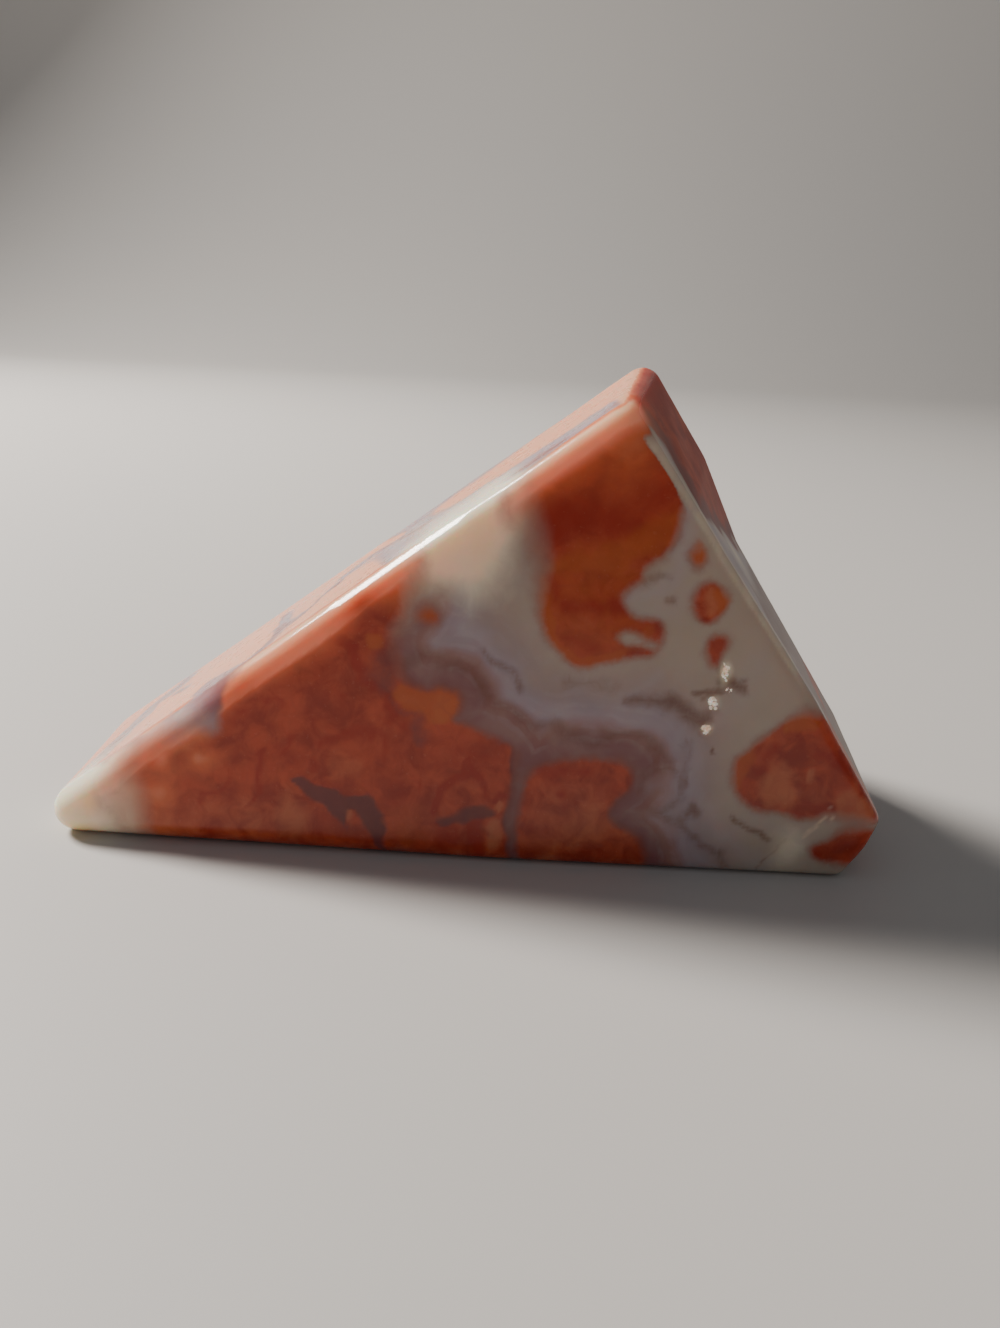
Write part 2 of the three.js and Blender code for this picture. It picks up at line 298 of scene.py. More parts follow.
# Lighter and browner bands in the chalcedony of the front face: amount, half width and line
PALE_BANDS = [
    (0.8, 0.8, [
        (-1.0, 28.6), (1.8, 26.6), (3.8, 23.6), (4.8, 20.9), (6.9, 19.7), (10.4, 18.4), (13.0, 18.0),
    ]),
    (0.8, 1.0, [(10.6, 18.6), (12.7, 17.9), (14.7, 18.1), (16.3, 18.7), (19.4, 18.9), (22.0, 17.8)]),
    (1.6, 2.4, [(-36.5, 13.0), (-33.0, 14.4), (-29.0, 15.0)]),
    (0.5, 0.6, [(21.8, 10.2), (22.6, 11.0), (23.4, 10.8), (23.2, 9.4)]),
    (0.7, 0.9, [
        (23.6, 17.4), (25.8, 15.2), (26.3, 11.6), (27.2, 8.6), (28.9, 5.9), (31.1, 4.0), (34.3, 1.6),
    ]),
    (1.0, 0.9, [
        (16.6, 32.6), (18.2, 33.2), (19.9, 33.0), (21.6, 34.2), (22.2, 36.4), (22.6, 38.7),
        (23.3, 41.6),
    ]),
    (0.6, 0.9, [(17.3, 31.6), (20.0, 31.1), (22.5, 31.0), (23.4, 33.5)]),
    (0.7, 0.4, [(21.6, 6.6), (22.7, 6.4), (24.6, 4.7), (26.8, 2.9), (28.8, 1.0)]),
    (0.6, 0.5, [(17.0, 20.4), (19.1, 22.0), (21.2, 23.8)]),
    (0.5, 1.1, [(28.4, 18.8), (30.6, 22.2), (32.5, 25.8)]),
    (0.5, 0.7, [(33.1, 7.4), (34.7, 6.4), (36.8, 6.0), (38.6, 6.2)]),
    (0.6, 0.8, [(35.4, 0.8), (37.6, 2.6), (39.4, 4.6)]),
]
BROWN_BANDS = [
    (0.9, 0.85, [(22.6, 20.5), (24.6, 19.8), (26.0, 18.8)]),
    (0.9, 0.5, [(28.9, 22.8), (29.6, 22.5), (30.6, 22.4)]),
    (0.9, 0.4, [(25.6, 21.9), (26.4, 22.3), (27.8, 22.0)]),
    (0.8, 0.35, [(27.7, 25.9), (27.5, 24.4), (27.9, 22.9)]),
    (0.7, 0.50, [(1.7, 25.8), (2.8, 24.5), (4.3, 23.0), (5.5, 21.5)]),
    (0.6, 0.85, [(-7.0, 24.0), (-4.6, 24.6), (-1.6, 23.8), (1.1, 22.6), (2.4, 20.6)]),
    (0.6, 0.80, [
        (2.9, 19.9), (5.5, 18.2), (8.7, 17.3), (10.8, 16.0), (13.7, 15.7), (16.2, 16.5), (18.4, 16.9),
        (20.8, 16.0), (22.2, 14.6), (22.9, 13.4),
    ]),
    (0.55, 0.50, [
        (20.6, 9.6), (21.2, 12.0), (23.0, 12.9), (24.6, 11.6), (24.5, 9.1), (23.0, 7.2), (21.8, 7.2),
    ]),
    (0.8, 0.55, [(25.4, 6.8), (26.1, 7.7), (26.5, 6.9)]),
    (0.6, 0.32, [(25.4, 11.9), (25.7, 10.4)]),
    (0.6, 0.50, [(23.2, 7.5), (25.1, 5.7), (27.3, 4.3), (29.5, 2.8), (30.6, 0.6)]),
    (0.5, 0.40, [(24.9, 16.4), (24.9, 13.0), (25.2, 9.2)]),
    (0.8, 0.60, [(18.2, 21.1), (20.9, 20.9), (22.6, 20.7), (23.9, 19.7), (25.3, 19.1), (26.6, 19.3)]),
    (0.6, 0.35, [(26.5, 21.5), (28.1, 22.0), (29.5, 22.5), (31.1, 23.3)]),
    (1.0, 0.30, [(27.8, 15.8), (28.2, 15.4)]),
    (0.8, 0.32, [(31.7, 6.7), (33.0, 5.8), (34.5, 5.4), (35.6, 4.2)]),
    (0.6, 0.20, [(34.8, 0.6), (35.2, 1.7), (36.5, 3.3), (38.0, 5.0)]),
    (0.8, 0.35, [(-0.9, 37.0), (-0.6, 36.8)]),
    (0.7, 0.45, [(21.3, 32.2), (22.4, 32.5)]),
    (0.6, 0.70, [(19.8, 34.7), (20.6, 34.7)]),
    (0.4, 0.60, [(9.8, 22.4), (13.0, 22.9), (16.4, 22.4)]),
]

# Fine healed cracks: half width and line
HEALED_CRACKS = [
    (0.16, [(39.6, 5.7), (40.6, 6.7), (41.5, 7.4)]),
    (0.13, [(42.1, 8.8), (42.1, 7.6), (42.6, 6.5)]),
]

# Milky and yellow clouds in the chalcedony: centre x, y, z, the three half sizes, amount. The last three
# milky rows whiten the crystal pits, partly the crystals' own white and partly a painted glint.
MILKY_AND_GLINT = [
    (-3.0, -15.0, 38.5, 5.5, 8.0, 5.0, 1.2), (2.5, -14.0, 42.5, 3.6, 8.0, 4.0, 1.1),
    (0.6, -15.0, 33.0, 3.6, 6.0, 5.0, 0.40), (-46.0, -16.0, 4.0, 8.6, 9.0, 8.0, 1.3),
    (-41.0, -17.0, 3.0, 3.0, 5.0, 4.0, 0.35), (38.0, -18.0, 3.4, 2.8, 3.0, 3.6, 0.75),
    (-8.6, -15.6, 31.5, 3.6, 5.0, 6.0, 0.50), (-38.0, -4.0, 12.0, 7.0, 9.0, 5.0, 0.6),
    (-10.0, -4.0, 38.0, 14.0, 10.0, 9.0, 0.5),
    (-31.5, -16.5, 14.6, 5.0, 5.0, 3.2, 0.36), (28.5, -15.9, 24.4, 0.9, 3.0, 1.7, 0.9),
    (27.4, -16.0, 20.7, 0.9, 3.0, 1.1, 0.7), (27.1, -16.0, 17.7, 0.9, 3.0, 0.9, 1.0),
]
# Painted glow on the front face just below the tip: centre x, y, z, the three half sizes, amount
PAINTED_TIP_GLOW = [(15.6, -14.5, 48.0, 4.0, 5.0, 5.5, 0.38)]
YELLOW = [
    (-44.0, -17.0, 4.6, 1.8, 4.0, 2.2, 0.6), (-46.0, -17.0, 1.2, 3.4, 4.0, 1.3, 0.9),
    (1.0, -15.0, 37.0, 2.4, 4.0, 4.0, 0.35), (-6.0, -15.0, 33.0, 3.0, 4.0, 3.0, 0.3),
]

# The long slope seen from above: pink and grey as x and y, with amount and softness
SLOPE_PINK = [
    (1.0, 1.6, [
        (-6.2, 0.6), (-3.9, 1.6), (-0.9, 2.0), (4.0, 3.4), (10.0, 5.0), (16.0, 7.6), (21.0, 7.0),
        (21.0, -2.0), (17.4, -4.6), (14.7, -8.4), (11.7, -8.5), (8.4, -8.0), (4.5, -7.7), (1.8, -7.5),
        (-0.9, -7.2), (-4.4, -6.4),
    ]),
    (0.9, 1.0, [
        (-20.6, -9.0), (-17.1, -7.2), (-14.2, -5.6), (-10.8, -12.1), (-9.6, -15.9), (-13.0, -18.6),
        (-20.0, -18.6),
    ]),
    (0.8, 0.8, [(-13.8, 2.7), (-11.4, 1.8), (-8.9, 0.0), (-9.0, -2.6), (-11.2, -2.4), (-13.4, 0.4)]),
    (1.0, 0.9, [
        (-32.0, -5.2), (-30.0, -3.2), (-27.4, -1.0), (-24.6, -2.0), (-23.8, -8.4), (-23.0, -13.0),
        (-24.5, -14.0), (-26.4, -13.6), (-29.0, -9.6), (-30.7, -8.0),
    ]),
    (0.9, 0.8, [
        (-28.6, -17.0), (-24.0, -16.6), (-21.6, -15.6), (-21.0, -12.6), (-19.8, -11.6), (-19.4, -18.6),
        (-28.6, -19.4),
    ]),
    (0.9, 0.8, [
        (-37.1, -8.2), (-33.4, -10.2), (-32.4, -14.4), (-31.8, -16.4), (-32.4, -18.6), (-34.4, -18.6),
        (-35.0, -15.0),
    ]),
    (0.8, 0.6, [
        (-41.5, -3.9), (-39.7, -3.2), (-36.9, -6.0), (-36.2, -9.5), (-37.2, -10.9), (-38.5, -10.2),
    ]),
    (0.9, 0.6, [(-42.7, -17.0), (-41.7, -16.3), (-36.4, -17.0), (-36.0, -19.6), (-42.3, -19.5)]),
    (0.9, 0.9, [(-38.4, -15.4), (-36.2, -14.4), (-35.8, -18.6), (-39.0, -18.6)]),
]
SLOPE_GREY = [
    (1.0, 0.9, [
        (-47.0, -16.8), (-45.6, -14.8), (-44.7, -11.8), (-43.7, -7.6), (-42.3, -5.4), (-40.7, -3.0),
        (-38.0, 0.0),
    ]),
    (1.0, 0.7, [
        (-31.6, -14.1), (-30.0, -13.9), (-27.8, -15.4), (-25.7, -16.0), (-24.4, -14.6), (-23.3, -11.0),
        (-23.5, -7.7),
    ]),
    (0.8, 0.3, [(-34.9, -14.4), (-33.9, -17.7)]),
    (1.0, 0.9, [(-31.9, -13.7), (-30.9, -16.3), (-30.1, -18.0), (-29.2, -18.1)]),
    (0.7, 0.5, [(-39.0, -5.8), (-37.8, -4.5), (-36.4, -5.6)]),
    (0.9, 0.6, [(-24.6, -2.5), (-22.6, -9.4), (-21.0, -10.0), (-19.0, -9.0), (-17.0, -6.0)]),
    (0.7, 0.9, [(-15.6, -3.4), (-12.2, -2.0), (-8.9, -4.5), (-6.0, -6.5)]),
    (0.8, 0.7, [(-8.1, 0.3), (-6.7, 1.8), (-4.8, 2.4), (-1.0, 4.6)]),
    (0.8, 0.7, [(4.4, -12.6), (8.6, -12.6), (12.6, -12.6), (15.3, -11.4)]),
    (0.5, 0.8, [(-14.0, 6.0), (-6.0, 9.0), (4.0, 10.0)]),
]

# Where the pattern changes over the stone: each pair says where a change starts and where it ends
FRONT_TO_BACK = (1.2, 8.0)
SLOPE_FACING = (-0.6, 0.0, 0.8)
SLOPE_TURN = (0.72, 0.93)
SLOPE_START = (0.5, 2.4)
SIDE_TURN = (0.55, 0.72)
SIDE_START = (0.6, 1.6)
SIDE_FOOT = (16.0, 22.0)
SLOPE_UNSEEN = (2.0, 8.0)
THIN_END = (8.0, 15.0)
RED_TOP = (56.0, 58.5)

# Painted glow along the long edge, standing in for light that soaks into it: how far it reaches, where
# it starts and how fast it fades
GLOW_REACH = 3.5
GLOW_MORE_REACH = 2.6
GLOW_START = 0.65
GLOW_FALL = 1.6

# The crease below the two facets beside the tip: how steeply it falls towards the back
CREASE_FALL = 0.405

# Where the crystal pits open in the front face: x, z, half width, half height and depth
CRYSTAL_PITS = [
    (28.5, 24.4, 0.50, 1.30, 0.85), (29.1, 22.3, 0.42, 0.34, 0.60),
    (27.5, 20.7, 0.70, 0.90, 0.90), (27.0, 17.7, 0.65, 0.65, 0.80),
]
CRYSTAL_SEED = 7
CRYSTAL_WIDTH = (0.15, 0.28)
CRYSTAL_LENGTH = (0.35, 0.75)
CRYSTAL_LEAN = 0.7
CRYSTAL_ROOT = 0.12
CRYSTAL_SHOULDER = 0.62
CRYSTAL_SIDES = 6


# Small tools for shapes and fields

def face_plane(a, b, c, radius):
    """Outward normal and a point of a front face that lies on three corner balls."""
    a, b, c = (np.array(p, float) for p in (a, b, c))
    normal = np.cross(b - a, c - a)
    normal /= np.linalg.norm(normal)
    if normal[1] > 0:
        normal = -normal
    return normal, a + radius * normal


FRONT_RIGHT = face_plane(TIP_FRONT, FOOT_FRONT, HEEL_FRONT, EDGE_RADIUS)
FRONT_LEFT = face_plane(TIP_FRONT, FOOT_FRONT, LEFT_TIP, EDGE_RADIUS)


def depth_behind_front(points):
    """How far each point lies behind the front face."""
    return np.minimum(*[-(points - at) @ normal for normal, at in (FRONT_RIGHT, FRONT_LEFT)])


def clouds(points, scale, seed):
    """Smooth random field between about -1 and 1, with lumps of the given size."""
    rng = np.random.RandomState(seed)
    size = 24
    lattice = rng.uniform(-1, 1, (size, size, size))
    q = points / scale + 1000.0
    cell = np.floor(q).astype(int)
    t = q - cell
    t = t * t * (3 - 2 * t)
    total = np.zeros(len(points))
    for i in (0, 1):
        for j in (0, 1):
            for k in (0, 1):
                w = (t[:, 0] if i else 1 - t[:, 0]) * (t[:, 1] if j else 1 - t[:, 1])
                w = w * (t[:, 2] if k else 1 - t[:, 2])
                c = (cell + (i, j, k)) % size
                total += w * lattice[c[:, 0], c[:, 1], c[:, 2]]
    return total * 1.6


def rounded_outline(corners, rounds=2):
    """Corner-cut copy of a closed outline."""
    line = np.array(corners, float)
    for _ in range(rounds):
        after = np.roll(line, -1, 0)
        line = np.stack([0.75 * line + 0.25 * after, 0.25 * line + 0.75 * after], 1).reshape(-1, 2)
    return line


def distance_to_lines(flat, starts, ends):
    """Distance from each flat point to the nearest of some straight pieces."""
    nearest = np.full(len(flat), 1e9)
    for a, b in zip(starts, ends):
        along = b - a
        t = np.clip(((flat - a) @ along) / max(along @ along, 1e-9), 0, 1)
        gap = flat - a - t[:, None] * along
        nearest = np.minimum(nearest, (gap * gap).sum(1))
    return np.sqrt(nearest)


def inside_depth(flat, outline):
    """Distance to an outline, positive inside it and negative outside."""
    starts = rounded_outline(outline)
    ends = np.roll(starts, -1, 0)
    inside = np.zeros(len(flat), bool)
    for a, b in zip(starts, ends):
        if a[1] != b[1]:
            crosses = (a[1] > flat[:, 1]) != (b[1] > flat[:, 1])
            across = (b[0] - a[0]) * (flat[:, 1] - a[1]) / (b[1] - a[1]) + a[0]
            inside ^= crosses & (flat[:, 0] < across)
    gap = distance_to_lines(flat, starts, ends)
    return np.where(inside, gap, -gap)


def seam_depth(flat, half_width, line):
    """Distance inside a seam of the given half width, negative outside it."""
    line = np.array(line, float)
    return half_width - distance_to_lines(flat, line[:-1], line[1:])


def distance_to_edge(points, start, end):
    """Distance from each point to a straight edge in space."""
    start, end = np.array(start), np.array(end)
    along = end - start
    t = np.clip((points - start) @ along / (along @ along), 0, 1)
    return np.linalg.norm(points - start - t[:, None] * along, axis=1)


def past_rounding(distance, radius):
    """Distance along a face from an edge's rounding, for a distance to the middle of the rounding."""
    return np.sqrt(np.maximum(distance ** 2 - radius ** 2, 0))


def soft_spots(points, spots):
    """Sum of soft round spots; each row is a centre, half sizes and an amount."""
    axes = points.shape[1]
    total = np.zeros(len(points))
    for spot in spots:
        centre, half, amount = spot[:axes], spot[axes:2 * axes], spot[-1]
        reach = (((points - centre) / half) ** 2).sum(1)
        total += amount * np.exp(-reach)
    return total


# The polished skin

def placed(name, data):
    """A new object in the scene."""
    made = bpy.data.objects.new(name, data)
    bpy.context.scene.collection.objects.link(made)
    return made


def merged_copy(name, source):
    """A copy of a solid of the frame, with its loose triangles joined."""
    mesh = source.data.copy()
    work = bmesh.new()
    work.from_mesh(mesh)
    bmesh.ops.remove_doubles(work, verts=work.verts, dist=1e-7)
    work.to_mesh(mesh)
    work.free()
    mesh.materials.clear()
    return placed(name, mesh)


def apply_modifiers(obj):
    evaluated = obj.evaluated_get(bpy.context.evaluated_depsgraph_get())
    mesh = bpy.data.meshes.new_from_object(evaluated)
    obj.modifiers.clear()
    obj.data = mesh


def vertex_positions(mesh):
    flat = np.empty(len(mesh.vertices) * 3)
    mesh.vertices.foreach_get("co", flat)
    return flat.reshape(-1, 3)


def vertex_normals(mesh):
    flat = np.empty(len(mesh.vertices) * 3)
    mesh.vertex_normals.foreach_get("vector", flat)
    return flat.reshape(-1, 3)


def move_points(mesh, points):
    mesh.vertices.foreach_set("co", (points * MM).ravel())
    mesh.update()


def cut_edge_flats(points):
    """Presses the skin down to narrow flats on the long front edge."""
    tip, end = np.array(TIP_FRONT), np.array(LEFT_TIP)
    along = (tip - end) / np.linalg.norm(tip - end)
    facing = np.array(EDGE_FLAT_FACING)
    facing -= along * (along @ facing)
    facing /= np.linalg.norm(facing)
    middle = end + np.outer((points - end) @ along, along)
    radius = EDGE_RADIUS + (LEFT_TIP_RADIUS - EDGE_RADIUS) * (tip[0] - middle[:, 0]) / (tip[0] - end[0])
    height = (points - middle) @ facing
    for start, stop, cut in EDGE_FLATS:
        fade = np.clip((points[:, 0] - start) / EDGE_FLAT_FADE, 0, 1)
        fade = fade * np.clip((stop - points[:, 0]) / EDGE_FLAT_FADE, 0, 1)
        over = np.maximum(height - (radius - cut * fade), 0) * (fade > 0)
        points -= over[:, None] * facing
        height = height - over


def smooth(skin, rounds, group=""):
    """Smooths the skin, or only a group of its points."""
    eased = skin.modifiers.new("eased", "SMOOTH")
    eased.factor = SMOOTHING
    eased.iterations = rounds
    eased.vertex_group = group
    apply_modifiers(skin)


def round_soft_edges(skin):
    """Rounds the stretches of the long edge that are polished softer than the rest."""
    points = vertex_positions(skin.data) / MM
    share = np.zeros(len(points))
    for start, end, width in SOFT_EDGES:
        share = np.maximum(share, np.clip(1.4 - distance_to_edge(points, start, end) / width, 0, 1))
    group = skin.vertex_groups.new(name="rounder edge")
    for index in np.nonzero(share > 0.01)[0]:
        group.add([int(index)], float(share[index]), "REPLACE")
    smooth(skin, SOFT_EDGE_ROUNDS, "rounder edge")
    skin.vertex_groups.clear()


def polished_skin(source):
    """Even, fine skin over the stone: flat faces stay true, edges are eased by hand polishing."""
    skin = merged_copy("polished_stone", source)
    work = bmesh.new()
    work.from_mesh(skin.data)
    true_shape = BVHTree.FromBMesh(work)
    work.free()

    remesh = skin.modifiers.new("even faces", "REMESH")
    remesh.mode = "VOXEL"
    remesh.voxel_size = FACE_SPACING * MM
    remesh.adaptivity = 0.0
    apply_modifiers(skin)
    for vertex in skin.data.vertices:
        vertex.co = true_shape.find_nearest(vertex.co)[0]
    smooth(skin, POLISH_ROUNDS)
    round_soft_edges(skin)

    mesh = skin.data
    points = vertex_positions(mesh) / MM
    cut_edge_flats(points)
    move_points(mesh, points)
    height = points[:, 2]
    swell = HAND_POLISH_SWELL * clouds(points, SWELL_SIZE, 3)
    swell = swell + 0.25 * HAND_POLISH_SWELL * clouds(points, SMALL_SWELL_SIZE, 4)
    swell = swell * np.clip((height - SWELL_START) / SWELL_FADE, 0, 1)
    lift = (swell - HAND_POLISH_SWELL * 0.6) * np.clip(height / SWELL_FADE, 0, 1)
    mesh.polygons.foreach_set("use_smooth", np.ones(len(mesh.polygons), bool))
    move_points(mesh, points + vertex_normals(mesh) * lift[:, None])
    return skin


# The agate's pattern, kept on the skin as smooth fields

def store(mesh, name, values):
    layer = mesh.attributes.new(name, "FLOAT", "POINT")
    layer.data.foreach_set("value", np.asarray(values, np.float32))


def ease(value, low, high):
    """0 below low, 1 above high and smooth between."""
    t = np.clip((value - low) / (high - low), 0, 1)
    return t * t * (3 - 2 * t)


def near(flat, line, margin):
    """The flat points that lie close enough to a line or outline to feel it."""
    line = np.array(line, float)
    low, high = line.min(0) - margin, line.max(0) + margin
    return np.nonzero(((flat > low) & (flat < high)).all(1))[0]


def bodies(flat, rows, grow=0.0):
    """Largest amount of some soft-edged bodies at each point."""
    total = np.zeros(len(flat))
    for amount, softness, outline in rows:
        here = near(flat, outline, softness + 1.5)
        inside = inside_depth(flat[here], outline) + grow
        total[here] = np.maximum(total[here], amount * ease(inside, -1.5 * softness, 1.5 * softness))
    return total


def seams(flat, rows, spread=0.9):
    """Largest amount of some soft-edged seams at each point."""
    total = np.zeros(len(flat))
    for amount, half_width, line in rows:
        here = near(flat, line, half_width + 2.0)
        soft = half_width * spread
        inside = seam_depth(flat[here], half_width, line)
        total[here] = np.maximum(total[here], amount * ease(inside, -soft, soft))
    return total


def salmon_outlines(flat):
    """Depth inside the salmon masses, and inside the lower ones alone."""
    masses = {name: inside_depth(flat, outline) for name, outline in SALMON_MASSES.items()}
    salmon = np.max(list(masses.values()), axis=0)
    for outline in WINDOWS:
        salmon = np.minimum(salmon, -inside_depth(flat, outline))
    lower = np.max([masses[name] for name in LOWER_MASSES], axis=0)
    return salmon, lower


def above_crease(points, depth):
    """Distance above the crease where the salmon facets beside the tip turn grey."""
    above = points[:, 2] + CREASE_FALL * (points[:, 1] - EDGE_BREAK[1]) - EDGE_BREAK[2]
    above = np.minimum(depth - 2.0, above) + 1.3 * clouds(points, 3.5, 55)
    return above + 1.2 * clouds(points, 8.0, 58) * ease(depth, 3.0, 8.0)


def painted_edge_glow(points, depth, from_edge):
    """Painted glow along the long edge, standing in for light that soaks into it, fading over the front
    face.
    """
    reach = GLOW_REACH + GLOW_MORE_REACH * ease(points[:, 0], -14.0, 4.0) + 1.2 * clouds(points, 6.0, 51)
    below = from_edge + GLOW_START * (1 - ease(depth, 0.0, 0.8))
    return (1 - np.clip(below / reach, 0, 1)) ** GLOW_FALL


def painted_tip_light(points, from_edge):
    """Painted light on the lump near the left tip, which turns towards the lamp and is paler there
    because of how light falls.
    """
    tip_light = ease(-points[:, 0] + 1.5 * clouds(points, 3.0, 53), 26.0, 33.0)
    tip_light = tip_light * (1 - ease(from_edge, 0.5, 10.0 + 4.0 * clouds(points, 4.0, 52)))
    return tip_light * (0.7 + 0.5 * clouds(points, 2.2, 54))


def right_edge_line_and_glow(points, depth):
    """The pale chalcedony line down the right edge of the front face; its extra whiteness is painted
    glow.
    """
    off_line = np.min([distance_to_edge(points, *ends) for ends in RIGHT_EDGE], axis=0)
    off_line = past_rounding(off_line, EDGE_RADIUS) + 0.3 * clouds(points, 4.0, 57)
    line = (1 - ease(off_line, 0.4, 1.8)) * ease(depth, 0.02, 0.30)
    return line * ease(points[:, 2], 19.0, 26.0) * (1 - ease(points[:, 2], 48.0, 52.0))


def lay_pattern(skin):
    """Writes the fields that the agate material reads."""
    mesh = skin.data
    points = vertex_positions(mesh) / MM
    normals = vertex_normals(mesh)
    depth = depth_behind_front(points)
    behind = ease(depth, *FRONT_TO_BACK)
    front = 1 - behind
    slope = ease(normals @ np.array(SLOPE_FACING), *SLOPE_TURN) * ease(depth, *SLOPE_START)
    turned = ease(normals[:, 0], *SIDE_TURN) * ease(depth, *SIDE_START)
    side = turned * ease(points[:, 2], *SIDE_FOOT)

    wander = np.stack([clouds(points, 2.6, seed) for seed in (11, 12)], 1) * 0.35
    wander += np.stack([clouds(points, 1.1, seed) for seed in (13, 14)], 1) * 0.15
    drift = np.stack([clouds(points, 13.0, seed) for seed in (15, 16)], 1)
    drifted = points[:, [0, 2]] + drift * (7.0 * behind)[:, None]
    flat = drifted + wander * 1.5
    above = points[:, [0, 1]] + wander

    # Front face
    salmon, lower = salmon_outlines(drifted + wander * 0.8)
    crisp = 1 / (1 + soft_spots(points[:, [0, 2]], MELTING_EDGES) * front)
    salmon = salmon * crisp
    grey = np.maximum(bodies(flat, GREY_BODIES, 0.3), seams(flat, GREY_SEAMS, 1.6)) * front
    red = np.maximum(bodies(flat, RED_BODIES), seams(flat, RED_SEAMS)) * front
    gold = bodies(flat, GOLDEN_BODIES) * front
    peach = bodies(flat, PEACH_BODIES) * front
    pale_band = seams(flat, PALE_BANDS, 1.5) * front
    brown_band_and_shade = seams(flat, BROWN_BANDS, 1.5) * front
    cracks = seams(flat, [(1.0, half, line) for half, line in HEALED_CRACKS]) * front

    # Everywhere behind it
    lumps = 4.2 * clouds(points, 10.0, 31) + 1.8 * clouds(points, 4.5, 32) + 0.8
    salmon = salmon * front + (0.35 * np.clip(salmon, -8, 8) + lumps) * behind
    bands = -lower * front + np.maximum(2.0 - 1.6 * lumps, 0.4) * behind

    # The long slope
    unseen = ease(points[:, 1], *SLOPE_UNSEEN)
    slope_pink = bodies(above, SLOPE_PINK) * (1 - unseen) + ease(lumps, -1.0, 1.5) * unseen
    slope_grey = seams(above, SLOPE_GREY, 1.6) * slope
    thin_end = ease(-points[:, 0], *THIN_END) * (1.7 - 3.2 * slope_grey)
    salmon = salmon * (1 - slope) + slope * (slope_pink * 2.4 - 1.3 + thin_end)
    bands = bands * (1 - slope) + slope * (6.4 + 1.6 * clouds(points, 6.0, 33) - 4.4 * slope_grey)
    grey = np.maximum(grey * (1 - slope), slope_grey * 0.25)

    # The two facets beside the tip and the purple flank below them
    over_crease = above_crease(points, depth)
    salmon = salmon * (1 - side) + side * np.clip(over_crease, -2.5, 2.5)
    bands = bands * (1 - side) + side * (12.0 + 1.5 * clouds(points, 5.0, 34))
    # Painted shade: the right flank darkens towards the back, laid on with the brown band colour
    flank_shade = ease(points[:, 0] + 3.0 * clouds(points, 6.0, 56), 30.0, 38.0)
    flank_shade = 0.85 * flank_shade * ease(depth + 1.5 * clouds(points, 4.0, 59), 1.0, 5.0)
    grey = np.maximum(grey * (1 - side), side * ease(2.6 - over_crease, -1.2, 1.2) * 0.8)
    side_pale = side * ease(-over_crease, 0.0, 1.5) * 1.2
    # Milky white over the lower right facet: partly the chalcedony's own colour, partly painted
    # reflection of light surroundings
    side_milk_and_reflection = 0.42 * side * (1 - flank_shade) * (0.6 + 0.7 * clouds(points, 5.0, 60))

    # Painted light: glow along the long edge and on the lump near the left tip; and the pale line on the
    # right, whitened partly as painted glow
    radius = np.interp(points[:, 0], (LEFT_TIP[0], TIP_FRONT[0]), (LEFT_TIP_RADIUS, EDGE_RADIUS))
    from_edge = past_rounding(distance_to_edge(points, LEFT_TIP, TIP_FRONT), radius)
    painted_glow = painted_edge_glow(points, depth, from_edge) * (1 - slope)
    tip_light = 0.62 * painted_tip_light(points, from_edge) * (1 - slope)
    # Painted light: the lit colour of the long slope, which faces the lamp, the edge glow, the lit left
    # tip and the glow below the tip
    painted_light = np.max([slope * 0.74, painted_glow, tip_light, soft_spots(points, PAINTED_TIP_GLOW)], axis=0)
    edge_line_and_glow = right_edge_line_and_glow(points, depth)
    salmon = salmon * (1 - edge_line_and_glow) - 2.0 * edge_line_and_glow
    milk_and_glint = soft_spots(points, MILKY_AND_GLINT) * (1 - 0.5 * slope)

    # Deep red right at the top
    top = ease(points[:, 2] + 0.3 * points[:, 0], *RED_TOP)
    salmon = salmon * (1 - top) + 2.0 * top
    deeper = np.maximum(side * 0.45, 0.6 * top * (1 - slope))

    fields = {
        "salmon_depth": salmon,
        "crisp": crisp,
        "band_distance": bands,
        "grey": grey,
        "red": red + 0.30 * clouds(points, 4.0, 41) - 0.7 * slope + deeper,
        "gold": gold + 0.22 * clouds(points, 6.0, 42) * behind,
        "peach": peach + 0.20 * clouds(points, 5.0, 43),
        "pale_band": np.maximum(pale_band, side_pale),
        "brown_band_and_shade": np.maximum(brown_band_and_shade, flank_shade),
        "cracks": cracks,
        "painted_light": painted_light,
        "satin": 0.12 * slope + 0.26 * turned,
        "milky_and_glow": np.max([milk_and_glint, 0.42 * edge_line_and_glow, side_milk_and_reflection], axis=0),
        "yellow": soft_spots(points, YELLOW),
    }
    for name, values in fields.items():
        store(mesh, name, values)


# Materials

